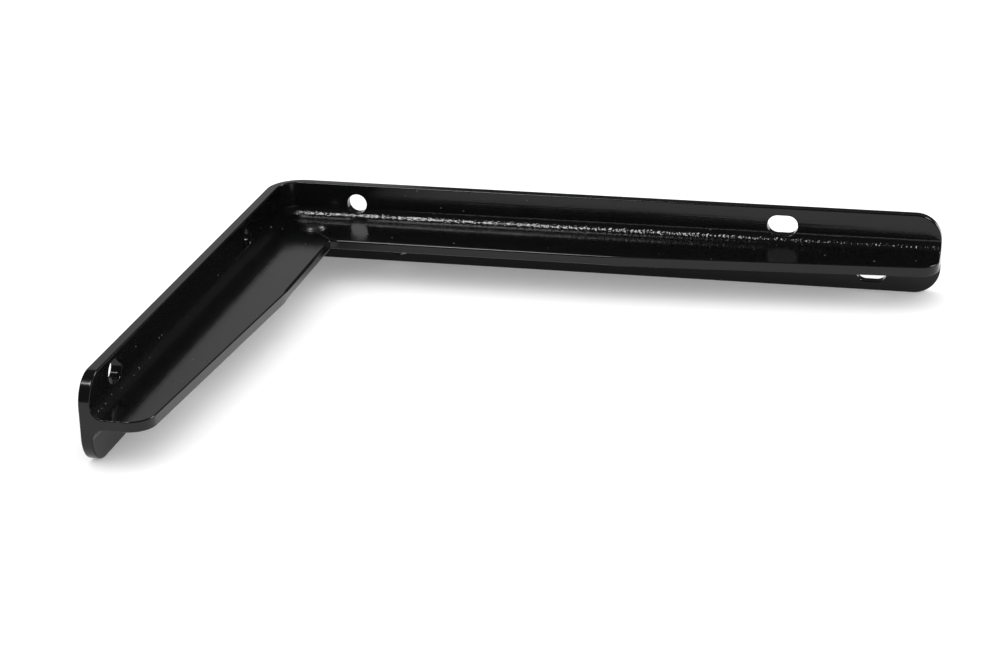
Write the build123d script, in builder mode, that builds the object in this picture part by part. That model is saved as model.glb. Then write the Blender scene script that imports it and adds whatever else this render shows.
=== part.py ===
from build123d import *
import os

# Shelf bracket made from one length of steel T bar: the web is notched at the corner, the bar is
# bent square, and the closed mitre is held by a button of weld. It lies on its side, as it comes
# to rest, on the lower edges of its two flanges.
# Frame: millimetres, +Z up, origin under the middle of the bounding box. The long leg runs along
# +X and the short leg along -Y from the outer corner. The flanges stand upright, their flat
# mounting faces look along +Y and -X, and the web lies level inside the angle.

# ---- the two legs, measured to the virtual outer corner ----
LONG_LEG = 250.0
SHORT_LEG = 200.0

# ---- the T bar ----
FLANGE_WIDTH = 29.5
FLANGE_THICKNESS = 3.8
WEB_DEPTH = 29.5
WEB_THICKNESS = 3.6
ROOT_RADIUS = 4.0
WEB_TOE_RADIUS = 0.9
FLANGE_EDGE_RADIUS = 0.5

# ---- the bend, the ends and the slimmed web ----
INNER_BEND_RADIUS = 7.0
OUTER_BEND_RADIUS = 12.5
END_CORNER_RADIUS = 9.5
TAPER_LENGTH = 114.0
WEB_TIP_DEPTH = 21.8
WEB_TIP_RADIUS = 8.0

# ---- punched openings ----
# Round holes: (distance from the outer corner, height from the middle of the web).
ROUND_HOLE_DIAMETER = 7.4
LONG_LEG_ROUND_HOLES = ((32.4, 7.3), (48.6, -8.4))
SHORT_LEG_ROUND_HOLES = ((47.4, 8.2), (32.4, -7.3))
# Slots: (distance of the middle from the end of the leg, height from the middle of the web).
SLOT_LENGTH = 11.1
SLOT_WIDTH = 7.4
LONG_LEG_SLOTS = ((57.1, 8.1), (24.5, -7.8))
SHORT_LEG_SLOTS = ((22.3, 9.0), (57.1, -8.1))

# ---- the button of weld on the mitre, from the two mounting faces to its middle ----
BUTTON_DIAMETER = 8.2
BUTTON_HEIGHT = 2.0
BUTTON_FROM_LONG_FACE = 18.0
BUTTON_FROM_SHORT_FACE = 19.6

# ---- places worked out from the sizes above ----
CORNER_X = -LONG_LEG / 2
CORNER_Y = SHORT_LEG / 2
LONG_END_X = CORNER_X + LONG_LEG
SHORT_END_Y = CORNER_Y - SHORT_LEG
INNER_X = CORNER_X + FLANGE_THICKNESS
INNER_Y = CORNER_Y - FLANGE_THICKNESS
TOE_X = CORNER_X + WEB_DEPTH
TOE_Y = CORNER_Y - WEB_DEPTH
MIDDLE_Z = FLANGE_WIDTH / 2
WEB_TOP = MIDDLE_Z + WEB_THICKNESS / 2
WEB_UNDERSIDE = MIDDLE_Z - WEB_THICKNESS / 2
PUNCH_DEPTH = FLANGE_THICKNESS + ROOT_RADIUS
LONG_FACE = Plane((0, CORNER_Y, 0), x_dir=(1, 0, 0), z_dir=(0, -1, 0))
SHORT_FACE = Plane((CORNER_X, 0, 0), x_dir=(0, 1, 0), z_dir=(1, 0, 0))
BUTTON_PLANE = Plane(
    (CORNER_X + BUTTON_FROM_SHORT_FACE, CORNER_Y - BUTTON_FROM_LONG_FACE, WEB_TOP),
    x_dir=(1, 0, 0),
    z_dir=(0, -1, 0),
)
BUTTON_RADIUS = BUTTON_DIAMETER / 2
BUTTON_ROOT = WEB_THICKNESS / 2
# A point on the crown's arc: this share of the radius out, and of the height up.
SHOULDER_OUT = 0.62
SHOULDER_UP = 0.70
# How deep the web starts inside the flange, so that the two are one solid.
WEB_START = FLANGE_THICKNESS / 2
WEB_START_RADIUS = INNER_BEND_RADIUS + FLANGE_THICKNESS - WEB_START
TOLERANCE = 0.01


def near(value, target):
    """True where two lengths are the same to the modelling tolerance."""
    return abs(value - target) < TOLERANCE


def on_web_face(edge):
    """True for an edge that lies in the web's upper or lower face."""
    box = edge.bounding_box()
    flat = near(box.min.Z, box.max.Z)
    return flat and (near(box.min.Z, WEB_TOP) or near(box.min.Z, WEB_UNDERSIDE))


def on_root(edge):
    """True for an edge where the web meets the inner face of the flange."""
    if not on_web_face(edge):
        return False
    if edge.geom_type == GeomType.CIRCLE:
        return near(edge.radius, INNER_BEND_RADIUS)
    box = edge.bounding_box()
    beside_long_leg = near(box.min.Y, INNER_Y) and near(box.max.Y, INNER_Y)
    beside_short_leg = near(box.min.X, INNER_X) and near(box.max.X, INNER_X)
    return beside_long_leg or beside_short_leg


def on_rolled_toe(edge):
    """True for an edge of the web's full-depth toe, between the corner and a kink."""
    if not on_web_face(edge):
        return False
    box = edge.bounding_box()
    along_long_leg = near(box.min.Y, TOE_Y) and near(box.max.Y, TOE_Y)
    along_short_leg = near(box.min.X, TOE_X) and near(box.max.X, TOE_X)
    return along_long_leg or along_short_leg


def at_leg_end(edge):
    """True for an edge across the flange's thickness at the end of a leg."""
    box = edge.bounding_box()
    long_end = near(box.min.X, LONG_END_X) and near(box.max.X, LONG_END_X)
    short_end = near(box.min.Y, SHORT_END_Y) and near(box.max.Y, SHORT_END_Y)
    return (long_end or short_end) and near(box.min.Z, box.max.Z)


def on_flange_edge(edge):
    """True for a long edge at the foot or the top of the flange."""
    box = edge.bounding_box()
    return near(box.max.Z, 0) or near(box.min.Z, FLANGE_WIDTH)


with BuildPart() as bracket:
    # Flange: one strip, bent square.
    with BuildSketch(Plane.XY):
        with BuildLine():
            outer_face = FilletPolyline(
                (LONG_END_X, CORNER_Y),
                (CORNER_X, CORNER_Y),
                (CORNER_X, SHORT_END_Y),
                radius=OUTER_BEND_RADIUS,
            )
            inner_face = FilletPolyline(
                (LONG_END_X, INNER_Y),
                (INNER_X, INNER_Y),
                (INNER_X, SHORT_END_Y),
                radius=INNER_BEND_RADIUS,
            )
            Line(outer_face @ 0, inner_face @ 0)
            Line(outer_face @ 1, inner_face @ 1)
        make_face()
    extrude(amount=FLANGE_WIDTH)
    fillet(edges().filter_by(at_leg_end), radius=END_CORNER_RADIUS)

    # Web: full depth round the corner, then sheared to a slimmer tip on each leg.
    with BuildSketch(Plane.XY.offset(WEB_UNDERSIDE)):
        with BuildLine():
            Polyline(
                (LONG_END_X, CORNER_Y - WEB_START),
                (LONG_END_X, CORNER_Y - WEB_TIP_DEPTH),
                (LONG_END_X - TAPER_LENGTH, TOE_Y),
                (TOE_X, TOE_Y),
                (TOE_X, SHORT_END_Y + TAPER_LENGTH),
                (CORNER_X + WEB_TIP_DEPTH, SHORT_END_Y),
                (CORNER_X + WEB_START, SHORT_END_Y),
                (CORNER_X + WEB_START, CORNER_Y - WEB_START),
                close=True,
            )
        make_face()
        fillet(
            vertices().filter_by(lambda v: near(v.Y, CORNER_Y - WEB_TIP_DEPTH)),
            radius=WEB_TIP_RADIUS,
        )
        fillet(
            vertices().filter_by(lambda v: near(v.X, CORNER_X + WEB_TIP_DEPTH)),
            radius=WEB_TIP_RADIUS,
        )
        fillet(
            vertices().sort_by_distance((CORNER_X, CORNER_Y))[0],
            radius=WEB_START_RADIUS,
        )
    extrude(amount=WEB_THICKNESS)

    # Rolled root between web and flange, and the rolled toe of the web.
    fillet(edges().filter_by(on_root), radius=ROOT_RADIUS)
    fillet(edges().filter_by(on_rolled_toe), radius=WEB_TOE_RADIUS)

    # Punched openings, each straight through one flange.
    with BuildSketch(LONG_FACE):
        for from_corner, height in LONG_LEG_ROUND_HOLES:
            with Locations((CORNER_X + from_corner, MIDDLE_Z + height)):
                Circle(ROUND_HOLE_DIAMETER / 2)
        for from_end, height in LONG_LEG_SLOTS:
            with Locations((LONG_END_X - from_end, MIDDLE_Z + height)):
                SlotOverall(SLOT_LENGTH, SLOT_WIDTH)
    extrude(amount=PUNCH_DEPTH, mode=Mode.SUBTRACT)
    with BuildSketch(SHORT_FACE):
        for from_corner, height in SHORT_LEG_ROUND_HOLES:
            with Locations((CORNER_Y - from_corner, MIDDLE_Z + height)):
                Circle(ROUND_HOLE_DIAMETER / 2)
        for from_end, height in SHORT_LEG_SLOTS:
            with Locations((SHORT_END_Y + from_end, MIDDLE_Z + height)):
                SlotOverall(SLOT_LENGTH, SLOT_WIDTH)
    extrude(amount=PUNCH_DEPTH, mode=Mode.SUBTRACT)

    # Button of weld: a low round cap on the mitre, rooted a little way into the web.
    with BuildSketch(BUTTON_PLANE):
        with BuildLine():
            crown = ThreePointArc(
                (0, BUTTON_HEIGHT),
                (BUTTON_RADIUS * SHOULDER_OUT, BUTTON_HEIGHT * SHOULDER_UP),
                (BUTTON_RADIUS, 0),
            )
            Polyline(crown @ 1, (BUTTON_RADIUS, -BUTTON_ROOT), (0, -BUTTON_ROOT), crown @ 0)
        make_face()
    revolve(axis=Axis(BUTTON_PLANE.origin, (0, 0, 1)), revolution_arc=360)

    # Slightly eased long edges on the flange, as rolled.
    fillet(edges().filter_by(on_flange_edge), radius=FLANGE_EDGE_RADIUS)

bracket.part.label = "bracket"
os.makedirs("parts", exist_ok=True)
export_step(bracket.part, "parts/bracket.step")
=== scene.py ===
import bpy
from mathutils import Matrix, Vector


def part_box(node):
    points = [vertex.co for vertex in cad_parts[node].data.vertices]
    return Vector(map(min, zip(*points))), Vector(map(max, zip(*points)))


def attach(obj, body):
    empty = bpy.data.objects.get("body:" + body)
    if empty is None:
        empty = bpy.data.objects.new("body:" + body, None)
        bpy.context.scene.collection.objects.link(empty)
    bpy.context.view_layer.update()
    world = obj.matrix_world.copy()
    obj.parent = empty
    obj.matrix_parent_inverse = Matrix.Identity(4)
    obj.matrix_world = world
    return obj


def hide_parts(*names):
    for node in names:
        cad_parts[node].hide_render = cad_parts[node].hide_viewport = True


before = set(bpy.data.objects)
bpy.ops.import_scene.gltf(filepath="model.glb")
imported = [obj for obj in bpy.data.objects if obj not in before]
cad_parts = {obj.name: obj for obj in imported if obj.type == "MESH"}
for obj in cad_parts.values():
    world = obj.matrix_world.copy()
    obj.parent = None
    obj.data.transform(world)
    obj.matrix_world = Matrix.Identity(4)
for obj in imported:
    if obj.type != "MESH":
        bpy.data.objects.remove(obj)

"""Looks of a shelf bracket made from one length of black-painted T bar.

Lengths inside the classes are millimetres, and meshes are written in metres. The frame is the
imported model's: +X along the long leg, -Y along the short leg, +Z across the flanges.
"""
import logging
import math
from dataclasses import dataclass, field
from enum import Enum

import bpy
import numpy as np
from mathutils import Matrix, Vector
from mathutils.geometry import delaunay_2d_cdt

MM = 0.001
LOG = logging.getLogger("shelf_bracket")
CAD_NODE = "bracket"
BODY = "root"
# Points on the straight end of the web, from the root to the rounded tip.
WEB_END_POINTS = 4
# Rows of quads across the flange's and the web's narrow faces.
FLANGE_WALL_ROWS = 2
WEB_WALL_ROWS = 6


class Side(Enum):
    """Side of the web that a surface lies on; the value is the sign of its height."""

    UPPER = 1
    LOWER = -1


@dataclass(frozen=True)
class Opening:
    """A punched hole or slot in the flange.

    Args:
        along: Distance along the bar from the outer corner, negative on the short leg.
        height: Height of its middle from the middle of the web.
        radius: Radius of a round hole, or of a slot's ends.
        straight: Half the distance between a slot's two end centres, 0 for a round hole.
    """

    along: float
    height: float
    radius: float = 3.7
    straight: float = 0.0

    def ring(self, angles: list[float], radius: float, side: Side) -> np.ndarray:
        """Points of the outline at these angles, drawn at another radius.

        Args:
            angles: Angles from the slot's length, in radians.
            radius: Radius to draw at.
            side: Side whose height runs positive.

        Returns:
            Rows of (along, height on that side).
        """
        rows = []
        for angle in angles:
            shift = self.straight if math.cos(angle) >= 0 else -self.straight
            rows.append((
                self.along + shift + radius * math.cos(angle),
                self.height * side.value + radius * math.sin(angle),
            ))
        return np.array(rows)

    def angles(self, levels: list[float], radius: float, side: Side) -> list[float]:
        """Angles that give a smooth outline with a point on every level it crosses.

        Args:
            levels: Heights, on that side, where the outline needs a point.
            radius: Radius at which the levels are crossed.
            side: Side whose height runs positive.

        Returns:
            Rising angles from -90 to 270 degrees.
        """
        steps = 36
        found = [(math.radians(-90 + 360 * (i + 0.5) / steps), False) for i in range(steps)]
        if self.straight:
            quarter = math.pi / 2 - 1e-6
            found += [(a, True) for a in (-quarter, quarter, math.pi - quarter, math.pi + quarter)]
        for level in levels:
            share = (level - self.height * side.value) / radius
            if abs(share) < 1:
                angle = math.asin(share)
                found += [(angle, True), (math.pi - angle, True)]
        fixed = [angle for angle, exact in found if exact]
        kept = [angle for angle, exact in found
                if exact or all(abs(angle - other) > 0.03 for other in fixed)]
        kept.sort()
        return kept


class Shell:
    """Collects patches of surface with their true normals, and welds them into one mesh."""

    def __init__(self) -> None:
        """Start with nothing collected."""
        self.points: list[np.ndarray] = []
        self.normals: list[np.ndarray] = []
        self.marks: list[np.ndarray] = []
        self.faces: list[tuple[int, ...]] = []
        self.count = 0

    def add(self, points: np.ndarray, normals: np.ndarray, marks: np.ndarray,
            faces: list[tuple[int, ...]]) -> None:
        """Add one patch.

        Args:
            points: Rows of (x, y, z) in millimetres.
            normals: Rows of the outward direction at each point.
            marks: Rows of (along, round, 0): where each point lies on the rolled bar.
            faces: Faces as indices into the rows.
        """
        self.points.append(points)
        self.normals.append(normals)
        self.marks.append(marks)
        self.faces += [tuple(i + self.count for i in face) for face in faces]
        self.count += len(points)

    def add_grid(self, rows: list[np.ndarray], normals: list[np.ndarray],
                 marks: list[np.ndarray], closed: bool) -> None:
        """Add a strip of quads through rows of points.

        Args:
            rows: Rows of points, all of one length.
            normals: Outward directions, row by row.
            marks: Places on the rolled bar, row by row.
            closed: True where each row is a ring.
        """
        wide = len(rows[0])
        faces = []
        for i in range(len(rows) - 1):
            for j in range(wide if closed else wide - 1):
                k = (j + 1) % wide
                faces.append((i * wide + j, i * wide + k, (i + 1) * wide + k, (i + 1) * wide + j))
        self.add(np.concatenate(rows), np.concatenate(normals), np.concatenate(marks), faces)

    def mesh(self, name: str) -> bpy.types.Mesh:
        """Weld everything and return the mesh, in metres.

        Args:
            name: Name of the mesh.

        Returns:
            A closed mesh that carries its true normals and the `rolled` attribute.
        """
        points = np.concatenate(self.points)
        keys = np.round(points * 2000).astype(np.int64)
        _, first, index = np.unique(keys, axis=0, return_index=True, return_inverse=True)
        index = index.reshape(-1)
        normals = np.zeros((len(first), 3))
        np.add.at(normals, index, np.concatenate(self.normals))
        normals /= np.maximum(np.linalg.norm(normals, axis=1, keepdims=True), 1e-9)
        faces = []
        for face in self.faces:
            welded = [int(index[i]) for i in face]
            loop = [v for i, v in enumerate(welded) if v != welded[i - 1]]
            if len(set(loop)) > 2:
                corners = points[first][loop]
                area = np.linalg.norm(np.cross(corners[1:-1] - corners[0],
                                               corners[2:] - corners[0]).sum(0))
                facing = np.cross(corners[1:-1] - corners[0], corners[2:] - corners[0]).sum(0)
                if area > 1e-9:
                    if facing @ normals[loop].sum(0) < 0:
                        loop.reverse()
                    faces.append(loop)
        mesh = bpy.data.meshes.new(name)
        mesh.from_pydata((points[first] * MM).tolist(), [], faces)
        mesh.update()
        mesh.polygons.foreach_set("use_smooth", [True] * len(mesh.polygons))
        rolled = mesh.attributes.new("rolled", "FLOAT_VECTOR", "POINT")
        rolled.data.foreach_set("vector", np.concatenate(self.marks)[first].astype(np.float32).ravel())
        mesh.normals_split_custom_set_from_vertices(normals.tolist())
        return mesh


def between(first: np.ndarray, second: np.ndarray, rows: int) -> np.ndarray:
    """Points that start at the last of one run and divide the way to another run's first.

    Args:
        first: A run of one point.
        second: A run whose first point ends the way, and is left out.
        rows: Number of divisions.

    Returns:
        The points, the first of them included.
    """
    shares = np.linspace(0, 1, rows + 1)[:-1, None]
    return first[-1] + (second[0] - first[-1]) * shares


def inside(polygon: np.ndarray, points: np.ndarray) -> np.ndarray:
    """Which points lie inside a polygon.

    Args:
        polygon: Rows of (x, y).
        points: Rows of (x, y).

    Returns:
        One boolean a point.
    """
    found = np.zeros(len(points), bool)
    x, y = points[:, 0], points[:, 1]
    for (ax, ay), (bx, by) in zip(polygon, np.roll(polygon, -1, axis=0)):
        crosses = (ay > y) != (by > y)
        if crosses.any():
            at = ax + (y[crosses] - ay) / (by - ay) * (bx - ax)
            found[crosses] ^= x[crosses] < at
    return found


def fill(outline: np.ndarray, holes: list[np.ndarray], lines: list[np.ndarray],
         spots: np.ndarray) -> tuple[np.ndarray, list[tuple[int, ...]]]:
    """Triangulate a flat region.

    Args:
        outline: Rows of (x, y) round the region.
        holes: Outlines of its openings.
        lines: Polylines that triangle edges must follow.
        spots: More points to use.

    Returns:
        The points used, and the triangles.
    """
    coords: list[np.ndarray] = []
    edges = []
    for loop in [outline, *holes]:
        base = len(coords)
        coords += list(loop)
        edges += [(base + i, base + (i + 1) % len(loop)) for i in range(len(loop))]
    for line in lines:
        base = len(coords)
        coords += list(line)
        edges += [(base + i, base + i + 1) for i in range(len(line) - 1)]
    if len(spots):
        keep = inside(outline, spots)
        for hole in holes:
            middle = hole.mean(0)
            keep &= ~inside(middle + (hole - middle) * 1.12, spots)
        coords += list(spots[keep])
    made = delaunay_2d_cdt([Vector(c) for c in coords], edges, [], 0, 1e-5, True)
    points = np.array([coords[given[0]] if given else tuple(v) for v, given in zip(made[0], made[3])])
    faces = [tuple(f) for f in made[2]]
    middles = np.array([points[list(f)].mean(0) for f in faces])
    keep = inside(outline, middles)
    for hole in holes:
        keep &= ~inside(hole, middles)
    return points, [f for f, k in zip(faces, keep) if k]


@dataclass
class TBar:
    """The bar itself: flange bent square, web notched, tapered and mitred, openings punched."""

    long_leg: float
    short_leg: float
    flange_width: float
    flange_thickness: float = 3.8
    web_depth: float = 29.5
    web_thickness: float = 3.6
    root_radius: float = 4.0
    inner_bend_radius: float = 7.0
    outer_bend_radius: float = 12.5
    end_corner_radius: float = 9.5
    taper_length: float = 114.0
    web_tip_depth: float = 21.8
    web_tip_radius: float = 8.0
    flange_edge: float = 0.5
    rolled_toe: float = 0.9
    sheared_edge: float = 0.45
    sheared_burr: float = 0.2
    opening_edge: float = 0.35
    spacing: float = 3.0
    root_steps: int = 9
    bend_steps: int = 12
    edge_steps: int = 4
    openings: tuple[Opening, ...] = ()
    shell: Shell = field(default_factory=Shell)

    def __post_init__(self) -> None:
        """Work out the places that several methods share."""
        self.half_width = self.flange_width / 2
        self.half_web = self.web_thickness / 2
        self.root_top = self.half_web + self.root_radius
        self.corner = np.array([-self.long_leg / 2, self.short_leg / 2])
        self.levels = [self.half_web + self.root_radius * (1 - math.cos(t))
                       for t in np.linspace(0, math.pi / 2, self.root_steps)]

    def reach(self, depth: np.ndarray) -> np.ndarray:
        """How far from the outer corner the bend begins, at the outer face or inside it."""
        return np.where(depth > 0, self.inner_bend_radius + self.flange_thickness, self.outer_bend_radius)

    def inward(self, along: np.ndarray, depth: np.ndarray) -> np.ndarray:
        """Directions from the outer face into the angle, as rows of (x, y, 0)."""
        reach = self.reach(depth)
        turn = np.clip((reach - along) / (2 * reach), 0, 1) * math.pi / 2
        return np.stack([np.sin(turn), -np.cos(turn), np.zeros_like(turn)], 1)

    def tangent(self, along: np.ndarray, depth: np.ndarray) -> np.ndarray:
        """Directions along the bar, as rows of (x, y, 0)."""
        inward = self.inward(along, depth)
        return np.stack([-inward[:, 1], inward[:, 0], inward[:, 2]], 1)

    def place(self, along: np.ndarray, depth: np.ndarray, height: np.ndarray) -> np.ndarray:
        """Turn bar coordinates into places.

        Args:
            along: Distance from the outer corner, negative on the short leg.
            depth: Distance in from the outer face.
            height: Height from the middle of the web.

        Returns:
            Rows of (x, y, z).
        """
        reach = self.reach(depth)
        past = np.sign(along) * np.maximum(np.abs(along) - reach, 0)
        points = -(reach - depth)[:, None] * self.inward(along, depth)
        points += past[:, None] * self.tangent(along, depth)
        points[:, 0] += self.corner[0] + reach
        points[:, 1] += self.corner[1] - reach
        points[:, 2] = height + self.half_width
        return points

    def root_turn(self, height: np.ndarray) -> np.ndarray:
        """Angle round the rolled root at a height: 0 on the web, a quarter turn on the flange."""
        share = 1 - (np.abs(height) - self.half_web) / self.root_radius
        return np.arccos(np.clip(share, 0, 1))

    def inner_depth(self, height: np.ndarray) -> np.ndarray:
        """Depth of the inner surface of flange and root at a height."""
        turn = self.root_turn(height)
        return self.flange_thickness + self.root_radius * (1 - np.sin(turn))

    def unrolled(self, height: np.ndarray) -> np.ndarray:
        """Distance up the inner surface from the web to a height."""
        turn = self.root_turn(height)
        return self.root_radius * turn + np.maximum(np.abs(height) - self.root_top, 0)

    def rolled_up(self, distance: np.ndarray) -> np.ndarray:
        """Height that lies that distance up the inner surface: the inverse of `unrolled`."""
        quarter = self.root_radius * math.pi / 2
        turn = np.clip(distance / self.root_radius, 0, math.pi / 2)
        lift = self.half_web + self.root_radius * (1 - np.cos(turn))
        return lift + np.maximum(distance - quarter, 0)

    def inner_points(self, along: np.ndarray, height: np.ndarray, side: Side) -> tuple[np.ndarray, np.ndarray]:
        """Places and normals on the inner surface of flange and root.

        Args:
            along: Distance from the outer corner.
            height: Height from the middle of the web, positive on that side.
            side: Side of the web.

        Returns:
            Rows of places, and rows of normals.
        """
        depth = self.inner_depth(height)
        points = self.place(along, depth, height * side.value)
        turn = self.root_turn(height)[:, None]
        normals = np.sin(turn) * self.inward(along, depth)
        normals[:, 2] = np.cos(turn[:, 0]) * side.value
        return points, normals

    def edge(self, start: np.ndarray, start_normal: np.ndarray, corner: np.ndarray,
             wall_normal: np.ndarray, down: np.ndarray, radius: np.ndarray,
             marks: np.ndarray, closed: bool) -> np.ndarray:
        """Round one edge of the bar from a surface over to a wall.

        Args:
            start: Points of the surface where the rounding starts.
            start_normal: The surface's normals there.
            corner: Points of the sharp edge that the rounding replaces.
            wall_normal: The wall's normals.
            down: Directions from the corner down the wall.
            radius: How far down the wall the rounding ends, point by point.
            marks: Places on the rolled bar.
            closed: True for a ring.

        Returns:
            The points on the wall where the rounding ends.
        """
        end = corner + down * radius[:, None]
        rows, normals = [], []
        for share in np.linspace(0, 1, self.edge_steps + 1):
            rows.append((1 - share) ** 2 * start + 2 * share * (1 - share) * corner + share ** 2 * end)
            blend = (1 - share) * start_normal + share * wall_normal
            normals.append(blend / np.linalg.norm(blend, axis=1, keepdims=True))
        self.shell.add_grid(rows, normals, [marks] * len(rows), closed)
        return end

    def wall(self, first: np.ndarray, second: np.ndarray, normals: np.ndarray,
             marks: np.ndarray, closed: bool, steps: int = 3) -> None:
        """Join two rows of points with a straight wall.

        Args:
            first: Points on one side.
            second: Points on the other side.
            normals: The wall's normals.
            marks: Places on the rolled bar.
            closed: True for a ring.
            steps: Rows of quads.
        """
        shares = np.linspace(0, 1, steps + 1)
        rows = [first + (second - first) * t for t in shares]
        self.shell.add_grid(rows, [normals] * len(rows), [marks] * len(rows), closed)

    def stations(self, outside: bool = False) -> list[float]:
        """Distances along the bar where its long edges have points, on the inner or outer face."""
        reach = float(self.reach(np.array(0.0 if outside else 1.0)))
        bend = list(np.linspace(-reach, reach, self.bend_steps + 1))
        reach = self.outer_bend_radius + 1.0
        long_end = self.long_leg - self.end_corner_radius
        short_end = self.short_leg - self.end_corner_radius
        long_count = round((long_end - reach) / self.spacing)
        short_count = round((short_end - reach) / self.spacing)
        outward = list(np.linspace(reach, long_end, long_count + 1))
        back = list(np.linspace(-short_end, -reach, short_count + 1))
        return back + bend + outward

    def flange_rim(self, radius: float, levels: list[float], outside: bool = False) -> np.ndarray:
        """Edge of one half of the flange, from the short leg's end over the top to the long leg's.

        Args:
            radius: Edge rounding, which sets where the levels are crossed.
            levels: Heights that need a point.
            outside: True for the outer face.

        Returns:
            Rows of (along, height, outward along, outward height) of the sharp edge.
        """
        turn_radius = self.end_corner_radius
        base = self.half_width - turn_radius
        inner = turn_radius - radius
        angles = list(np.linspace(0, math.pi / 2, 13))
        angles += [math.asin((v - base) / inner) for v in levels if 0.02 < v - base < inner]
        angles = sorted(angles)
        rows = []
        for angle in angles:
            c, s = math.cos(angle), math.sin(angle)
            rows.append((-(self.short_leg - turn_radius) - turn_radius * c, base + turn_radius * s, -c, s))
        for along in self.stations(outside)[1:-1]:
            rows.append((along, self.half_width, 0.0, 1.0))
        for angle in reversed(angles):
            c, s = math.cos(angle), math.sin(angle)
            rows.append((self.long_leg - turn_radius + turn_radius * c, base + turn_radius * s, c, s))
        return np.array(rows)

    def grid_spots(self, low: float, high: float) -> np.ndarray:
        """Points spread over a strip of the bar.

        Args:
            low: Lower bound across the strip.
            high: Upper bound across the strip.

        Returns:
            Rows of (along, across).
        """
        reach = self.outer_bend_radius + 0.5
        across = np.linspace(low, high, max(2, round((high - low) / self.spacing)) + 1)[1:-1]
        along = [s for s in self.stations() if abs(s) > reach]
        along += list(np.arange(max(along) + self.spacing, self.long_leg - 1, self.spacing))
        along += list(-np.arange(-min(along) + self.spacing, self.short_leg - 1, self.spacing))
        return np.array([(s, t) for s in along for t in across])

    def bend_lines(self, low: float, high: float, outside: bool = False) -> list[np.ndarray]:
        """Lines across the strip that its triangles must follow round the bend.

        Args:
            low: Lower end of each line.
            high: Upper end of each line.
            outside: True for the outer face.

        Returns:
            One line a station of the bend.
        """
        reach = self.outer_bend_radius + 0.5
        return [np.array([(s, low), (s, high)]) for s in self.stations(outside) if abs(s) <= reach]

    def build_half(self, side: Side) -> dict[str, np.ndarray]:
        """Build the flange's inner surface, the root and the web's surface on one side.

        Args:
            side: Side of the web.

        Returns:
            The ends of the roundings, for the walls that join the two sides.
        """
        soft = self.flange_edge
        base = self.half_width - self.end_corner_radius
        rim = self.flange_rim(soft, self.levels)
        below = [v for v in self.levels if v < base - 0.02]
        inset = rim[:, :2] - soft * rim[:, 2:]
        ends_a = np.array([(self.long_leg - soft, v) for v in reversed(below)])
        ends_b = np.array([(-(self.short_leg - soft), v) for v in below])
        stations = [s for s in self.stations()[1:-1]]
        root = [-(self.short_leg - soft), -(self.short_leg - self.end_corner_radius), *stations,
                self.long_leg - self.end_corner_radius, self.long_leg - soft]
        foot = np.array([(s, self.half_web) for s in root])[::-1]
        ring = np.concatenate([inset, ends_a, foot[1:-1], ends_b])
        flat = np.stack([ring[:, 0], self.unrolled(ring[:, 1])], 1)
        quarter = self.root_radius * math.pi / 2
        top = self.unrolled(np.array([self.half_width - soft]))[0]
        lines = self.bend_lines(0.0, top)
        for level in self.levels[1:]:
            up = float(self.unrolled(np.array([level]))[0])
            if level < base:
                reach_a, reach_b = self.long_leg - soft, self.short_leg - soft
            else:
                c = math.sqrt((self.end_corner_radius - soft) ** 2 - (level - base) ** 2)
                reach_a = self.long_leg - self.end_corner_radius + c
                reach_b = self.short_leg - self.end_corner_radius + c
            line = [s for s in self.stations() if -reach_b < s < reach_a]
            lines.append(np.array([(s, up) for s in [-reach_b, *line, reach_a]]))
        here = [o for o in self.openings if o.height * side.value > 0]
        outlines, openings = [], []
        for opening in here:
            angles = opening.angles(self.levels, opening.radius + self.opening_edge, side)
            outline = opening.ring(angles, opening.radius + self.opening_edge, side)
            outlines.append(np.stack([outline[:, 0], self.unrolled(outline[:, 1])], 1))
            openings.append((opening, angles))
        points, faces = fill(flat, outlines, lines, self.grid_spots(quarter, top))
        height = self.rolled_up(points[:, 1])
        places, normals = self.inner_points(points[:, 0], height, side)
        near_root = np.exp(-((points[:, 1] - quarter / 2) / quarter) ** 2 * 7)
        marks = np.stack([points[:, 0], points[:, 1] + 60 * (side.value + 2), near_root], 1)
        self.shell.add(places, normals, marks, faces)
        self.punch_inner(openings, side)
        result = self.round_flange(rim, inset, side)
        result.update(self.build_web(root, side))
        result.update(self.round_ends(base, below, side))
        return result

    def punch_inner(self, openings: list[tuple[Opening, list[float]]], side: Side) -> None:
        """Round each opening's inner edge and build its wall and outer edge.

        Args:
            openings: Each opening with the angles of its outline.
            side: Side of the web.
        """
        soft = self.opening_edge
        for opening, angles in openings:
            wide = opening.ring(angles, opening.radius + soft, side)
            true = opening.ring(angles, opening.radius, side)
            start, normals = self.inner_points(wide[:, 0], wide[:, 1], side)
            corner, _ = self.inner_points(true[:, 0], true[:, 1], side)
            zero = np.zeros(len(true))
            tangent, inward = self.tangent(true[:, 0], zero), self.inward(true[:, 0], zero)
            facing = -np.cos(angles)[:, None] * tangent
            facing[:, 2] = -np.sin(angles) * side.value
            marks = np.stack([true[:, 0], 400 + true[:, 1], zero], 1)
            radius = np.full(len(true), soft)
            inner = self.edge(start, normals, corner, facing, -inward, radius, marks, True)
            face = self.place(wide[:, 0], zero, wide[:, 1] * side.value)
            rim = self.place(true[:, 0], zero, true[:, 1] * side.value)
            outer = self.edge(face, -inward, rim, facing, inward, radius, marks, True)
            self.wall(inner, outer, facing, marks, True)

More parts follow.
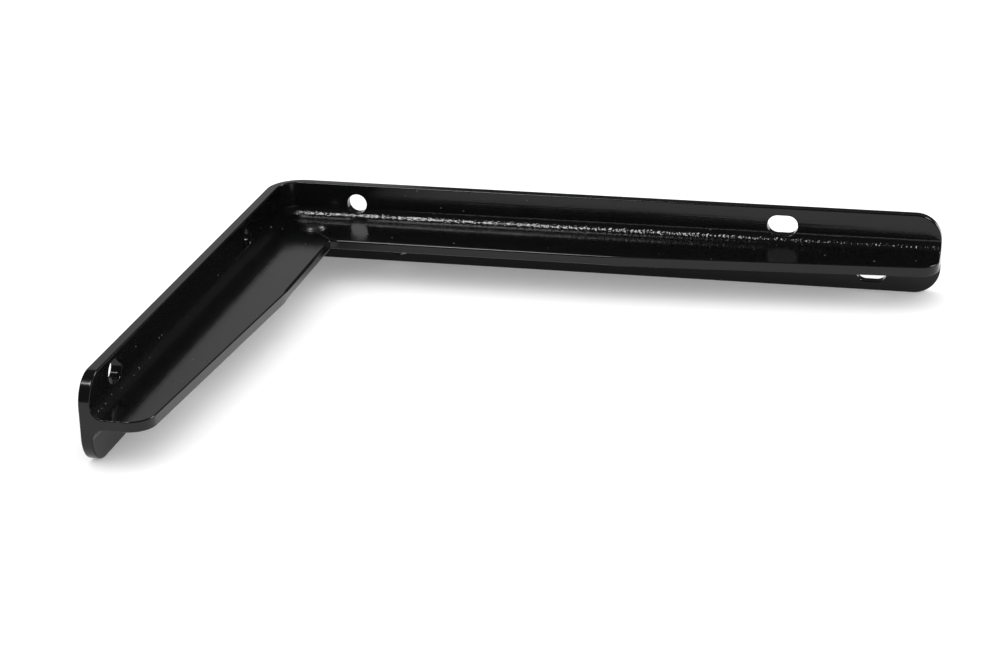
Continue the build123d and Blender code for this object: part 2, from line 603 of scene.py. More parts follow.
    def round_flange(self, rim: np.ndarray, inset: np.ndarray, side: Side) -> dict[str, np.ndarray]:
        """Round both edges of the flange's rim on one side, and join them with its narrow face.

        Args:
            rim: The sharp rim from `flange_rim`.
            inset: Where the rounding starts, as (along, height).
            side: Side of the web.

        Returns:
            The last points of the inner rounding at each leg's end.
        """
        along, height, zero = rim[:, 0], rim[:, 1], np.zeros(len(rim))
        outer_rim = self.flange_rim(self.flange_edge, self.levels, True)
        outer_inset = outer_rim[:, :2] - self.flange_edge * outer_rim[:, 2:]
        radius = np.full(len(rim), self.flange_edge)
        marks = np.stack([along, 300 + height * side.value, zero], 1)
        outward = rim[:, 2:3] * self.tangent(along, zero + 1)
        outward[:, 2] = rim[:, 3] * side.value
        start, normals = self.inner_points(inset[:, 0], inset[:, 1], side)
        corner, _ = self.inner_points(along, height, side)
        inner = self.edge(start, normals, corner, outward, -normals, radius, marks, False)
        inward = self.inward(outer_rim[:, 0], zero)
        outward = outer_rim[:, 2:3] * self.tangent(outer_rim[:, 0], zero)
        outward[:, 2] = outer_rim[:, 3] * side.value
        face = self.place(outer_inset[:, 0], zero, outer_inset[:, 1] * side.value)
        sharp = self.place(outer_rim[:, 0], zero, height * side.value)
        outer = self.edge(face, -inward, sharp, outward, inward, radius, marks, False)
        self.wall(inner, outer, outward, marks, False, FLANGE_WALL_ROWS)
        return {"outer_a": outer[-1:], "outer_b": outer[:1]}

    def web_edge(self, side: Side) -> tuple[np.ndarray, np.ndarray, np.ndarray]:
        """Free edge of the web in plan, from the long leg's end round to the short leg's.

        Args:
            side: Side of the web, which sets how far the edge is rounded.

        Returns:
            Rows of (x, y), rows of outward directions, and the rounding at each point.
        """
        long_x = self.corner[0] + self.long_leg
        short_y = self.corner[1] - self.short_leg
        toe = self.corner + self.web_depth * np.array([1.0, -1.0])
        sheared = self.sheared_edge if side is Side.UPPER else self.sheared_burr

        def leg(end: np.ndarray, kink: np.ndarray, back: np.ndarray, last: np.ndarray) -> list[tuple]:
            """Points from a leg's end to the toe corner."""
            run = (kink - end) / np.linalg.norm(kink - end)
            reach = self.web_tip_radius / math.tan((math.pi - math.acos(float(np.clip(back @ run, -1, 1)))) / 2)
            first = end - back * reach
            out_first = np.array([back[1], -back[0]])
            if out_first @ (end - toe) < 0:
                out_first = -out_first
            out_run = np.array([run[1], -run[0]])
            if out_run @ (end - self.corner) < 0:
                out_run = -out_run
            centre = first - out_first * self.web_tip_radius
            rows = []
            start = self.corner_depth_point(end, back)
            for t in np.linspace(0, 1, WEB_END_POINTS + 1)[:-1]:
                rows.append((start + (first - start) * t, out_first, self.flange_edge))
            for t in np.linspace(0, 1, 13):
                angle = math.acos(float(np.clip(out_first @ out_run, -1, 1)))
                mix = (out_first * math.sin((1 - t) * angle) + out_run * math.sin(t * angle)) / math.sin(angle)
                soft = self.flange_edge + (sheared - self.flange_edge) * t
                rows.append((centre + mix * self.web_tip_radius, mix, soft))
            tangent_end = centre + out_run * self.web_tip_radius
            length = np.linalg.norm(kink - tangent_end)
            count = round(length / self.spacing)
            for t in np.linspace(0, 1, count + 1)[1:-1]:
                rows.append((tangent_end + (kink - tangent_end) * t, out_run, sheared))
            square = (last - kink) / np.linalg.norm(last - kink)
            out_last = np.array([square[1], -square[0]])
            if out_last @ (end - self.corner) < 0:
                out_last = -out_last
            join = (out_run + out_last) / (1 + out_run @ out_last)
            rows.append((kink, join, sheared))
            rows.append((kink + square * 2.0, out_last, (sheared + self.rolled_toe) / 2))
            rows.append((kink + square * 4.0, out_last, self.rolled_toe))
            count = round(np.linalg.norm(last - kink) / self.spacing)
            for t in np.linspace(4.0 / np.linalg.norm(last - kink), 1, count)[1:-1]:
                rows.append((kink + (last - kink) * t, out_last, self.rolled_toe))
            return rows

        long_end = np.array([long_x, self.corner[1] - self.web_tip_depth])
        long_kink = np.array([long_x - self.taper_length, toe[1]])
        short_end = np.array([self.corner[0] + self.web_tip_depth, short_y])
        short_kink = np.array([toe[0], short_y + self.taper_length])
        rows = leg(long_end, long_kink, np.array([0.0, -1.0]), toe)
        rows.append((toe, np.array([1.0, -1.0]), self.rolled_toe))
        rows += reversed(leg(short_end, short_kink, np.array([1.0, 0.0]), toe))
        edge, out, soft = zip(*rows)
        return np.array(edge), np.array(out), np.array(soft)

    def corner_depth_point(self, end: np.ndarray, back: np.ndarray) -> np.ndarray:
        """Where a leg's end meets the foot of the root, in plan."""
        depth = self.flange_thickness + self.root_radius
        return end - back * (self.web_tip_depth - depth)

    def build_web(self, root: list[float], side: Side) -> dict[str, np.ndarray]:
        """Build the web's face on one side and round its free edge.

        Args:
            root: Stations of the foot of the root.
            side: Side of the web.

        Returns:
            The ends of the roundings and their outward directions.
        """
        edge, out, soft = self.web_edge(side)
        inset = edge - out * soft[:, None]
        depth = np.full(len(root), self.flange_thickness + self.root_radius)
        foot = self.place(np.array(root), depth, np.full(len(root), self.half_web * side.value))[:, :2]
        ring = np.concatenate([foot, inset[1:-1]])
        low, high = ring.min(0), ring.max(0)
        step = self.spacing * 1.2
        spots = np.array([(x, y) for x in np.arange(low[0] + 1, high[0], step)
                          for y in np.arange(low[1] + 1, high[1], step)])
        points, faces = fill(ring, [], [], spots)
        places = np.column_stack([points, np.full(len(points), self.half_width + self.half_web * side.value)])
        normals = np.tile([0.0, 0.0, float(side.value)], (len(points), 1))
        self.shell.add(places, normals, self.plan_marks(points, side), faces)
        lift = np.full(len(edge), self.half_width + self.half_web * side.value)
        up = np.tile([0.0, 0.0, float(side.value)], (len(edge), 1))
        start = np.column_stack([inset, lift])
        corner = np.column_stack([edge, lift])
        facing = np.column_stack([out / np.linalg.norm(out, axis=1, keepdims=True), np.zeros(len(out))])
        marks = self.plan_marks(edge, side)
        last = self.edge(start, up, corner, facing, -up, soft, marks, False)
        return {"web": last, "web_out": facing, "web_marks": marks}

    def plan_marks(self, points: np.ndarray, side: Side) -> np.ndarray:
        """Places on the rolled bar for points of the web, given in plan."""
        from_long = self.corner[1] - points[:, 1]
        from_short = points[:, 0] - self.corner[0]
        on_long = from_short > from_long
        along = np.where(on_long, from_short, -from_long)
        depth = np.where(on_long, from_long, from_short)
        return np.stack([along, -depth - 60 * (side.value + 2), np.zeros(len(points))], 1)

    def round_ends(self, base: float, below: list[float], side: Side) -> dict[str, np.ndarray]:
        """Round the ends of the two legs between the flange's corner and the web.

        Args:
            base: Height where the flange's corner starts.
            below: Levels of the root under that height.
            side: Side of the web.

        Returns:
            The ends of those roundings, from the flange down to the web.
        """
        result = {}
        heights = np.array([base, *reversed(below)])
        for name, reach, sign in (("end_a", self.long_leg, 1.0), ("end_b", -self.short_leg, -1.0)):
            along = np.full(len(heights), reach)
            start, normals = self.inner_points(along - sign * self.flange_edge, heights, side)
            corner, _ = self.inner_points(along, heights, side)
            outward = sign * self.tangent(along, np.ones(len(along)))
            marks = np.stack([along, 300 + heights, np.zeros(len(heights))], 1)
            radius = np.full(len(heights), self.flange_edge)
            result[name] = self.edge(start, normals, corner, outward, -normals, radius, marks, False)
        return result

    def build_outer(self) -> None:
        """Build the flat outer faces and the outside of the bend."""
        soft = self.flange_edge
        upper = self.flange_rim(soft, self.levels, True)
        lower = upper.copy()
        lower[:, 1] *= -1
        lower[:, 3] *= -1
        ring = np.concatenate([upper, lower[::-1]])
        ring = ring[:, :2] - soft * ring[:, 2:]
        outlines = []
        for opening in self.openings:
            side = Side.UPPER if opening.height > 0 else Side.LOWER
            angles = opening.angles(self.levels, opening.radius + self.opening_edge, side)
            outline = opening.ring(angles, opening.radius + self.opening_edge, side)
            outline[:, 1] *= side.value
            outlines.append(outline)
        top = self.half_width - soft
        lines = self.bend_lines(-top, top, True)
        points, faces = fill(ring, outlines, lines, self.grid_spots(-top, top))
        places = self.place(points[:, 0], np.zeros(len(points)), points[:, 1])
        marks = np.stack([points[:, 0], points[:, 1], np.zeros(len(points))], 1)
        self.shell.add(places, -self.inward(points[:, 0], np.zeros(len(points))), marks, faces)
        base = self.half_width - self.end_corner_radius
        heights = np.array([base, -base])
        for reach, sign in ((self.long_leg, 1.0), (-self.short_leg, -1.0)):
            along, zero = np.full(2, reach), np.zeros(2)
            inward, outward = self.inward(along, zero), sign * self.tangent(along, zero)
            start = self.place(along - sign * soft, zero, heights)
            marks = np.stack([along, heights, zero], 1)
            self.edge(start, -inward, self.place(along, zero, heights), outward, inward,
                      np.full(2, soft), marks, False)

    def cap(self, upper: dict[str, np.ndarray], lower: dict[str, np.ndarray], name: str) -> None:
        """Close the end of a leg with its flat T-shaped face.

        Args:
            upper: Ends of the roundings above the web.
            lower: Ends of the roundings below the web.
            name: "a" for the long leg, "b" for the short leg.
        """
        last = WEB_END_POINTS + 1
        pick = slice(1, last) if name == "a" else slice(-2, -last - 1, -1)
        above = np.concatenate([between(upper["outer_" + name], upper["end_" + name], FLANGE_WALL_ROWS),
                                upper["end_" + name], upper["web"][pick]])
        under = np.concatenate([between(lower["outer_" + name], lower["end_" + name], FLANGE_WALL_ROWS),
                                lower["end_" + name], lower["web"][pick]])
        tip = between(above[-1:], under[-1:], WEB_WALL_ROWS)[1:]
        loop = np.concatenate([above, tip, under[::-1]])
        axis = 0 if name == "a" else 1
        keep = [i for i in range(3) if i != axis]
        outward = np.zeros(3)
        outward[axis] = 1.0 if name == "a" else -1.0
        points, faces = fill(loop[:, keep], [], [], np.empty((0, 2)))
        places = np.empty((len(points), 3))
        places[:, keep] = points
        places[:, axis] = loop[:, axis].mean()
        marks = np.column_stack([points[:, 0], points[:, 1] + 500, np.zeros(len(points))])
        self.shell.add(places, np.tile(outward, (len(points), 1)), marks, faces)

    def build(self, paint: bpy.types.Material) -> bpy.types.Object:
        """Build the whole bar and dress it.

        Args:
            paint: The finish.

        Returns:
            The bar as one object.
        """
        upper = self.build_half(Side.UPPER)
        lower = self.build_half(Side.LOWER)
        # The straight ends of the web belong to the caps.
        free = slice(WEB_END_POINTS, -WEB_END_POINTS)
        self.wall(upper["web"][free], lower["web"][free], upper["web_out"][free],
                  upper["web_marks"][free], False, WEB_WALL_ROWS)
        self.build_outer()
        self.cap(upper, lower, "a")
        self.cap(upper, lower, "b")
        bar = bpy.data.objects.new("t_bar", self.shell.mesh("t_bar"))
        bpy.context.scene.collection.objects.link(bar)
        bar.data.materials.append(paint)
        return bar


class Tree:
    """A short hand for wiring a node tree."""

    def __init__(self, tree: bpy.types.NodeTree) -> None:
        """Work on this tree."""
        self.nodes, self.links = tree.nodes, tree.links

    def node(self, kind: str, **values: object) -> bpy.types.Node:
        """Add a node and set its properties.

        Args:
            kind: The node's type.
            values: Properties by name.

        Returns:
            The node.
        """
        made = self.nodes.new(kind)
        for name, value in values.items():
            setattr(made, name, value)
        return made

    def feed(self, socket: bpy.types.NodeSocket, source: object) -> None:
        """Link a socket to an output, or set its value."""
        if isinstance(source, bpy.types.NodeSocket):
            self.links.new(source, socket)
        else:
            socket.default_value = source

    def math(self, operation: str, first: object, second: object = 0.0) -> bpy.types.NodeSocket:
        """Add a Math node and return its output."""
        made = self.node("ShaderNodeMath", operation=operation)
        self.feed(made.inputs[0], first)
        self.feed(made.inputs[1], second)
        return made.outputs[0]

    def noise(self, place: bpy.types.NodeSocket, stretch: tuple[float, float, float],
              scale: float, detail: float = 2.0) -> bpy.types.NodeSocket:
        """Add stretched noise and return its value.

        Args:
            place: Coordinates to read.
            stretch: Factors on the three coordinates.
            scale: Scale of the noise.
            detail: Octaves.

        Returns:
            The noise's output, about 0.5 on average.
        """
        mapping = self.node("ShaderNodeMapping")
        self.feed(mapping.inputs["Vector"], place)
        mapping.inputs["Scale"].default_value = stretch
        made = self.node("ShaderNodeTexNoise")
        self.feed(made.inputs["Vector"], mapping.outputs[0])
        made.inputs["Scale"].default_value = scale
        made.inputs["Detail"].default_value = detail
        return made.outputs[0]

    def bump(self, height: bpy.types.NodeSocket, distance: float, below: object = None) -> bpy.types.NodeSocket:
        """Add a Bump node of that many metres and return its normal."""
        made = self.node("ShaderNodeBump")
        made.inputs["Strength"].default_value = 1.0
        made.inputs["Distance"].default_value = distance
        self.feed(made.inputs["Height"], height)
        if below is not None:
            self.feed(made.inputs["Normal"], below)
        return made.outputs[0]


@dataclass(frozen=True)
class GlossBlackPaint:
    """Sprayed black gloss over rolled steel: orange peel, rolling lines and a lumpy root.

    Heights are in metres, and wavelengths in millimetres.
    """

    name: str = "black_gloss_paint"
    tint: tuple[float, float, float] = (0.0035, 0.0036, 0.0039)
    roughness: float = 0.13
    ior: float = 1.37
    peel_wave: float = 1.3
    peel_height: float = 0.000010
    wave_wave: float = 9.0
    wave_height: float = 0.000030
    line_wave: float = 0.55
    line_length: float = 45.0
    line_height: float = 0.000012
    root_wave: float = 1.2
    root_height: float = 0.00022
    rolled: bool = True

    def material(self) -> bpy.types.Material:
        """Build the paint as a node material."""
        made = bpy.data.materials.new(self.name)
        made.use_nodes = True
        tree = Tree(made.node_tree)
        shader = made.node_tree.nodes["Principled BSDF"]
        shader.inputs["IOR"].default_value = self.ior
        place = tree.node("ShaderNodeTexCoord").outputs["Object"]
        peel = tree.noise(place, (1, 1, 1), 1000 / self.peel_wave, 3)
        swell = tree.noise(place, (1, 1, 1), 1000 / self.wave_wave, 2)
        normal = tree.bump(swell, self.wave_height)
        normal = tree.bump(peel, self.peel_height, normal)
        gloss = tree.math("MULTIPLY_ADD", swell, 0.06)
        gloss.node.inputs[2].default_value = self.roughness - 0.03
        if self.rolled:
            mark = tree.node("ShaderNodeAttribute", attribute_name="rolled").outputs["Vector"]
            parts = tree.node("ShaderNodeSeparateXYZ")
            tree.feed(parts.inputs[0], mark)
            lines = tree.noise(mark, (1 / self.line_length, 1 / self.line_wave, 0), 1, 3)
            lumps = tree.noise(mark, (1 / self.root_wave, 1 / self.root_wave, 0), 1, 1)
            normal = tree.bump(lines, self.line_height, normal)
            lumps = tree.math("MULTIPLY", lumps, parts.outputs[2])
            normal = tree.bump(lumps, self.root_height, normal)
            streaks = tree.math("MULTIPLY_ADD", lines, 0.10)
            streaks.node.inputs[2].default_value = -0.05
            gloss = tree.math("ADD", gloss, streaks)
        tree.feed(shader.inputs["Roughness"], gloss)
        tree.feed(shader.inputs["Normal"], normal)
        tone = tree.node("ShaderNodeMix", data_type="RGBA")
        tree.feed(tone.inputs[0], swell)
        tone.inputs[6].default_value = (*(c * 0.8 for c in self.tint), 1)
        tone.inputs[7].default_value = (*(c * 1.3 for c in self.tint), 1)
        tree.feed(shader.inputs["Base Color"], tone.outputs[2])
        return made


def baked(name: str, holder: bpy.types.Object) -> bpy.types.Object:
    """Turn an object with a node modifier into a plain mesh object.

    Args:
        name: Name of the new object.
        holder: The object that carries the modifier. It is removed.

    Returns:
        The plain object.
    """
    shown = holder.evaluated_get(bpy.context.evaluated_depsgraph_get())
    mesh = bpy.data.meshes.new_from_object(shown)
    mesh.name = name
    bpy.data.objects.remove(holder)
    made = bpy.data.objects.new(name, mesh)
    bpy.context.scene.collection.objects.link(made)
    return made


class Growth:
    """A geometry node tree with named inputs, set by socket identifier before it is evaluated."""

    def __init__(self, name: str) -> None:
        """Start the tree.

        Args:
            name: Name of the tree.
        """
        self.tree = bpy.data.node_groups.new(name, "GeometryNodeTree")
        self.tree.interface.new_socket("Geometry", in_out="INPUT", socket_type="NodeSocketGeometry")
        self.tree.interface.new_socket("Geometry", in_out="OUTPUT", socket_type="NodeSocketGeometry")
        self.wire = Tree(self.tree)
        self.entry = self.wire.node("NodeGroupInput")
        self.identifiers: dict[str, str] = {}

    def size(self, name: str, kind: str = "NodeSocketFloat") -> bpy.types.NodeSocket:
        """Add a named input and return where to read it."""
        socket = self.tree.interface.new_socket(name, in_out="INPUT", socket_type=kind)
        self.identifiers[name] = socket.identifier
        return self.entry.outputs[name]

    def finish(self, geometry: bpy.types.NodeSocket, finish: bpy.types.Material) -> None:
        """End the tree in Realize Instances and Set Material."""
        real = self.wire.node("GeometryNodeRealizeInstances")
        self.wire.feed(real.inputs[0], geometry)
        dress = self.wire.node("GeometryNodeSetMaterial")
        self.wire.feed(dress.inputs[0], real.outputs[0])
        dress.inputs["Material"].default_value = finish
        leave = self.wire.node("NodeGroupOutput")
        self.wire.feed(leave.inputs[0], dress.outputs[0])

    def grow(self, name: str, data: bpy.types.ID, values: dict[str, object]) -> bpy.types.Object:
        """Run the tree on some data and return the result as a plain object.

        Args:
            name: Name of the result.
            data: Mesh or curve that the tree starts from.
            values: Value of each named input.

        Returns:
            The result.
        """
        holder = bpy.data.objects.new(name + "_source", data)
        bpy.context.scene.collection.objects.link(holder)
        modifier = holder.modifiers.new(name, "NODES")
        modifier.node_group = self.tree
        for label, value in values.items():
            modifier[self.identifiers[label]] = value
        return baked(name, holder)


@dataclass
class WeldButton:
    """The round button of weld that closes the mitre, flared into the web round its foot."""

    from_long_face: float = 18.0
    from_short_face: float = 19.6
    radius: float = 4.1
    height: float = 2.0
    flare: float = 0.9
    rings: int = 22
    around: int = 72

    def profile(self, out: float) -> float:
        """Height of the weld at a distance from its middle."""
        if out < self.radius:
            share = out / self.radius
            return 0.12 + (self.height - 0.12) * (1 - share ** 2.3) ** 0.62
        share = (out - self.radius) / self.flare
        return 0.12 * (1 - share) ** 2 - 0.04 * share

    def build(self, corner: np.ndarray, web_top: float, paint: bpy.types.Material) -> bpy.types.Object:
        """Build the weld on the web.

        Args:
            corner: The bar's outer corner in plan.
            web_top: Height of the web's upper face.
            paint: The finish.

        Returns:
            The weld as one object.
        """
        middle = corner + np.array([self.from_short_face, -self.from_long_face])
        outs = list(np.linspace(0, 1, self.rings) ** 0.75 * self.radius)
        outs += [self.radius + self.flare * t for t in (0.25, 0.5, 0.75, 1.0)]
        rows: list[tuple[float, float, float]] = [(middle[0], middle[1], web_top + self.profile(0.0))]
        for out in outs[1:]:
            for i in range(self.around):
                turn = 2 * math.pi * i / self.around
                swell = 1 + 0.045 * math.sin(2 * turn + 0.6) + 0.03 * math.sin(3 * turn + 2.0)
                x, y = out * swell * math.cos(turn), out * swell * math.sin(turn)
                ripple = 0.05 * math.sin(1.9 * x + 0.8) * math.cos(1.6 * y) * min(1, out / 1.5)
                lift = self.profile(out) + ripple * (out < self.radius)
                rows.append((middle[0] + x, middle[1] + y, web_top + lift))
        faces: list[tuple[int, ...]] = []
        n = self.around
        for i in range(n):
            faces.append((0, 1 + i, 1 + (i + 1) % n))
        for k in range(len(outs) - 2):
            a, b = 1 + k * n, 1 + (k + 1) * n
            faces += [(a + i, b + i, b + (i + 1) % n, a + (i + 1) % n) for i in range(n)]
        base = len(rows)
        last = 1 + (len(outs) - 2) * n
        rows += [(x, y, web_top - 0.4) for x, y, _ in rows[last:last + n]]
        faces += [(last + i, base + i, base + (i + 1) % n, last + (i + 1) % n) for i in range(n)]
        faces.append(tuple(base + i for i in reversed(range(n))))
        mesh = bpy.data.meshes.new("weld_button")
        mesh.from_pydata([tuple(c * MM for c in row) for row in rows], [], faces)
        mesh.polygons.foreach_set("use_smooth", [True] * len(mesh.polygons))
        mesh.materials.append(paint)
        weld = bpy.data.objects.new("weld_button", mesh)
        bpy.context.scene.collection.objects.link(weld)
        return weld


@dataclass
class MitreSeam:
    """The thin raised line where the two halves of the web meet, on each side of the weld."""

    radius: float = 0.34
    sink: float = 0.16
    wobble: float = 0.10
    seed: int = 4

    def build(self, start: np.ndarray, end: np.ndarray, height: float,
              paint: bpy.types.Material) -> bpy.types.Object:
        """Sweep the seam along the mitre.

        Args:
            start: Its end near the root, in plan.
            end: Its end at the toe, in plan.
            height: Height of the web's face.
            paint: The finish.

        Returns:
            The seam as one object.
        """
        curve = bpy.data.curves.new("mitre_line", "CURVE")
        curve.dimensions = "3D"
        spline = curve.splines.new("POLY")
        spline.points.add(1)
        for point, place in zip(spline.points, (start, end)):
            point.co = (place[0] * MM, place[1] * MM, height * MM, 1)
        growth = Growth("mitre_seam")
        wire = growth.wire
        radius, step = growth.size("Radius"), growth.size("Step")
        wobble, seed = growth.size("Wobble"), growth.size("Seed", "NodeSocketInt")
        path = wire.node("GeometryNodeResampleCurve", mode="LENGTH")
        wire.feed(path.inputs["Curve"], growth.entry.outputs[0])
        wire.feed(path.inputs["Length"], step)
        shake = wire.node("FunctionNodeRandomValue", data_type="FLOAT_VECTOR")
        wire.feed(shake.inputs["Seed"], seed)
        low = wire.node("ShaderNodeVectorMath", operation="SCALE")
        low.inputs[0].default_value = (-1, -1, -0.5)
        wire.feed(low.inputs["Scale"], wobble)
        high = wire.node("ShaderNodeVectorMath", operation="SCALE")
        high.inputs[0].default_value = (1, 1, 0.5)
        wire.feed(high.inputs["Scale"], wobble)
        wire.feed(shake.inputs[0], low.outputs[0])
        wire.feed(shake.inputs[1], high.outputs[0])
        moved = wire.node("GeometryNodeSetPosition")
        wire.feed(moved.inputs["Geometry"], path.outputs[0])
        wire.feed(moved.inputs["Offset"], shake.outputs[0])
        smooth = wire.node("GeometryNodeCurveSplineType", spline_type="NURBS")
        wire.feed(smooth.inputs[0], moved.outputs[0])
        ring = wire.node("GeometryNodeCurvePrimitiveCircle", mode="RADIUS")
        ring.inputs["Resolution"].default_value = 10
        wire.feed(ring.inputs["Radius"], radius)
        sweep = wire.node("GeometryNodeCurveToMesh")
        wire.feed(sweep.inputs["Curve"], smooth.outputs[0])
        wire.feed(sweep.inputs["Profile Curve"], ring.outputs[0])
        sweep.inputs["Fill Caps"].default_value = True
        growth.finish(sweep.outputs[0], paint)
        values = {"Radius": self.radius * MM, "Step": 0.9 * MM, "Wobble": self.wobble * MM, "Seed": self.seed}
        seam = growth.grow("mitre_seam", curve, values)
        for vertex in seam.data.vertices:
            vertex.co.z = height * MM + (vertex.co.z - height * MM) * 0.6 - self.sink * MM
        seam.data.polygons.foreach_set("use_smooth", [True] * len(seam.data.polygons))
        return seam


@dataclass
class PaintNibs:
    """Grains of dust caught under the paint, scattered over the whole bar; their lighter grey is partly dust colour
    and partly a painted glint.
    """

    density: float = 2400.0
    smallest: float = 0.16
    largest: float = 0.42
    seed: int = 11

    def build(self, bar: bpy.types.Object, paint: bpy.types.Material) -> bpy.types.Object:
        """Scatter the grains on the bar.

        Args:
            bar: The painted bar.
            paint: The finish.

        Returns:
            All the grains as one object.
        """
        growth = Growth("paint_nibs")
        wire = growth.wire
        density, seed = growth.size("Density"), growth.size("Seed", "NodeSocketInt")
        smallest, largest = growth.size("Smallest"), growth.size("Largest")
        spread = wire.node("GeometryNodeDistributePointsOnFaces", distribute_method="RANDOM")
        wire.feed(spread.inputs["Mesh"], growth.entry.outputs[0])
        wire.feed(spread.inputs["Density"], density)
        wire.feed(spread.inputs["Seed"], seed)
        grain = wire.node("GeometryNodeMeshIcoSphere")
        grain.inputs["Radius"].default_value = 1.0
        grain.inputs["Subdivisions"].default_value = 2
        flat = wire.node("GeometryNodeTransform")
        wire.feed(flat.inputs["Geometry"], grain.outputs[0])
        flat.inputs["Scale"].default_value = (1, 1, 0.45)
        size = wire.node("FunctionNodeRandomValue", data_type="FLOAT")
        wire.feed(size.inputs[2], smallest)
        wire.feed(size.inputs[3], largest)
        wire.feed(size.inputs["Seed"], seed)
        sown = wire.node("GeometryNodeInstanceOnPoints")
        wire.feed(sown.inputs["Points"], spread.outputs["Points"])
        wire.feed(sown.inputs["Instance"], flat.outputs[0])
        wire.feed(sown.inputs["Rotation"], spread.outputs["Rotation"])
        wire.feed(sown.inputs["Scale"], size.outputs[1])
        growth.finish(sown.outputs[0], paint)
        values = {"Density": self.density, "Seed": self.seed,
                  "Smallest": self.smallest * MM, "Largest": self.largest * MM}
        nibs = growth.grow("paint_nibs", bar.data.copy(), values)
        nibs.data.polygons.foreach_set("use_smooth", [True] * len(nibs.data.polygons))
        return nibs


@dataclass(frozen=True)
class Lamp:
    """One softbox: its direction in degrees, distance and size in metres, and radiance."""

    name: str
    azimuth: float
    elevation: float
    distance: float
    size: tuple[float, float]
    radiance: float


LAMPS = (
    Lamp("left_softbox", -140, 64, 1.3, (0.36, 0.36), 24),
    Lamp("right_softbox", 45, 42, 1.4, (0.38, 0.38), 24),
    Lamp("back_left_card", -39, 20, 1.6, (1.23, 0.86), 0.42),
)


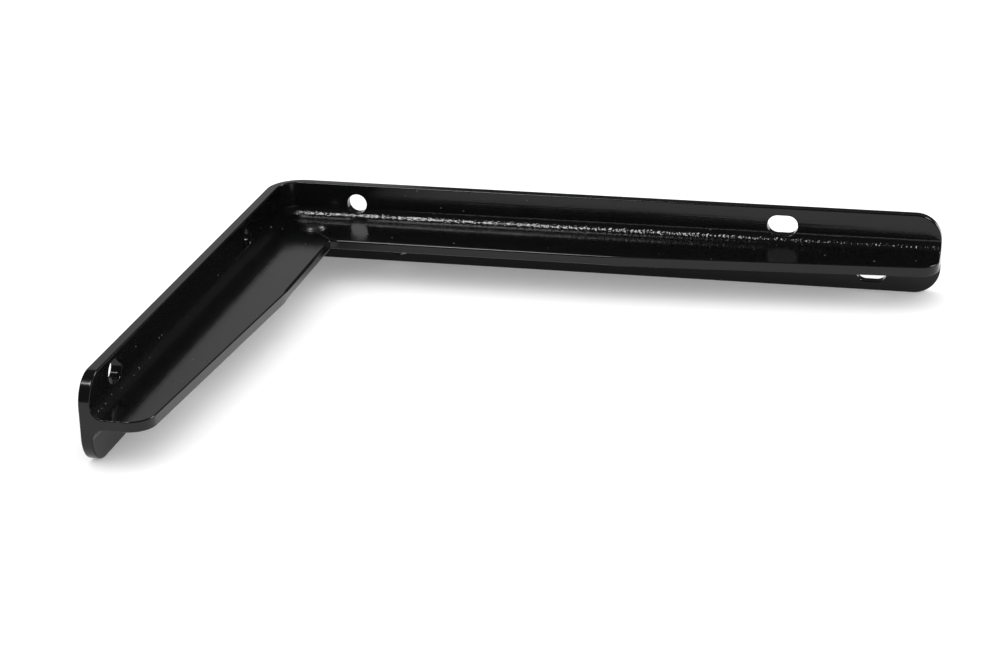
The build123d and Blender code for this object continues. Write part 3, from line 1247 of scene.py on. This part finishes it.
@dataclass
class Studio:
    """Floor, lights, surroundings and camera."""

    camera_at: tuple[float, float, float] = (152.45, -714.17, 306.67)
    yaw: float = -13.2374
    pitch: float = 21.8145
    roll: float = -1.1821
    lens: float = 84.93
    ambient: float = 1.3
    room: float = 0.07
    floor_half: float = 4.0
    floor_white: float = 0.85
    floor_glow: float = 0.24

    def build_camera(self) -> None:
        """Place the camera."""
        yaw, pitch, roll = (math.radians(a) for a in (self.yaw, self.pitch, self.roll))
        ahead = Vector((math.sin(yaw) * math.cos(pitch), math.cos(yaw) * math.cos(pitch), -math.sin(pitch)))
        level = Vector((math.cos(yaw), -math.sin(yaw), 0))
        over = level.cross(ahead)
        right = math.cos(roll) * level + math.sin(roll) * over
        up = -math.sin(roll) * level + math.cos(roll) * over
        data = bpy.data.cameras.new("camera")
        data.lens = self.lens
        data.sensor_width = 36
        data.clip_start, data.clip_end = 0.01, 20
        camera = bpy.data.objects.new("camera", data)
        bpy.context.scene.collection.objects.link(camera)
        rows = Matrix((right, up, -ahead)).transposed().to_4x4()
        camera.matrix_world = Matrix.Translation(Vector(self.camera_at) * MM) @ rows
        bpy.context.scene.camera = camera

    def build_light(self, lamp: Lamp) -> None:
        """Hang one softbox that looks at the object and lights only its reflections."""
        az, el = math.radians(lamp.azimuth), math.radians(lamp.elevation)
        toward = Vector((math.sin(az) * math.cos(el), math.cos(az) * math.cos(el), math.sin(el)))
        data = bpy.data.lights.new(lamp.name, "AREA")
        data.shape = "RECTANGLE"
        data.size, data.size_y = lamp.size
        data.energy = lamp.radiance * lamp.size[0] * lamp.size[1] * math.pi
        hung = bpy.data.objects.new(lamp.name, data)
        hung.visible_diffuse = False
        hung.location = toward * lamp.distance
        hung.rotation_euler = toward.to_track_quat("Z", "Y").to_euler()
        bpy.context.scene.collection.objects.link(hung)

    def build(self) -> None:
        """Build everything around the object."""
        scene = bpy.context.scene
        scene.view_settings.view_transform = "Standard"
        world = bpy.data.worlds.new("surroundings")
        world.use_nodes = True
        tree = Tree(world.node_tree)
        seen = tree.node("ShaderNodeLightPath").outputs["Is Glossy Ray"]
        level = tree.math("MULTIPLY_ADD", seen, self.room - self.ambient)
        level.node.inputs[2].default_value = self.ambient
        tree.feed(world.node_tree.nodes["Background"].inputs["Strength"], level)
        world.node_tree.nodes["Background"].inputs["Color"].default_value = (1, 1, 1, 1)
        scene.world = world
        for lamp in LAMPS:
            self.build_light(lamp)
        mesh = bpy.data.meshes.new("floor")
        half = self.floor_half
        mesh.from_pydata([(-half, -half, 0), (half, -half, 0), (half, half, 0), (-half, half, 0)], [], [(0, 1, 2, 3)])
        floor = bpy.data.objects.new("floor", mesh)
        scene.collection.objects.link(floor)
        white = bpy.data.materials.new("white_floor")
        white.use_nodes = True
        shader = white.node_tree.nodes["Principled BSDF"]
        shader.inputs["Base Color"].default_value = (*[self.floor_white] * 3, 1)
        shader.inputs["Roughness"].default_value = 1
        shader.inputs["Specular IOR Level"].default_value = 0
        shader.inputs["Emission Color"].default_value = (1, 1, 1, 1)
        shader.inputs["Emission Strength"].default_value = self.floor_glow
        mesh.materials.append(white)
        self.build_camera()


def main() -> None:
    """Build the bracket and its surroundings."""
    logging.basicConfig(level=logging.INFO)
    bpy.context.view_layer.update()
    low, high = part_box(CAD_NODE)
    span = (high - low) / MM
    paint = GlossBlackPaint().material()
    slot = 1.85
    shape = TBar(
        long_leg=span.x, short_leg=span.y, flange_width=span.z,
        openings=(
            Opening(32.4, 7.3), Opening(48.6, -8.4),
            Opening(span.x - 57.1, 8.1, straight=slot), Opening(span.x - 24.5, -7.8, straight=slot),
            Opening(-47.4, 8.2), Opening(-32.4, -7.3),
            Opening(22.3 - span.y, 9.0, straight=slot), Opening(57.1 - span.y, -8.1, straight=slot),
        ),
    )
    bar = shape.build(paint)
    plain = GlossBlackPaint(name="black_gloss_weld", roughness=0.36, ior=1.6, rolled=False).material()
    # The grains' lighter grey tint is partly dust colour and partly a painted glint.
    dust_and_glint_tint = (0.06, 0.06, 0.065)
    dust_and_glint_finish = GlossBlackPaint(name="dust_and_glint_paint", tint=dust_and_glint_tint, roughness=0.3, rolled=False).material()
    web_top = shape.half_width + shape.half_web
    root = shape.corner + np.array([9.0, -9.0])
    toe = shape.corner + (shape.web_depth - 0.8) * np.array([1.0, -1.0])
    weld = WeldButton().build(shape.corner, web_top, plain)
    seam = MitreSeam().build(root, toe, web_top, plain)
    nibs = PaintNibs().build(bar, dust_and_glint_finish)
    for piece in (bar, weld, seam, nibs):
        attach(piece, BODY)
        LOG.info("%s: %d faces", piece.name, len(piece.data.polygons))
    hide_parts(CAD_NODE)
    Studio().build()


if __name__ == "__main__":
    main()
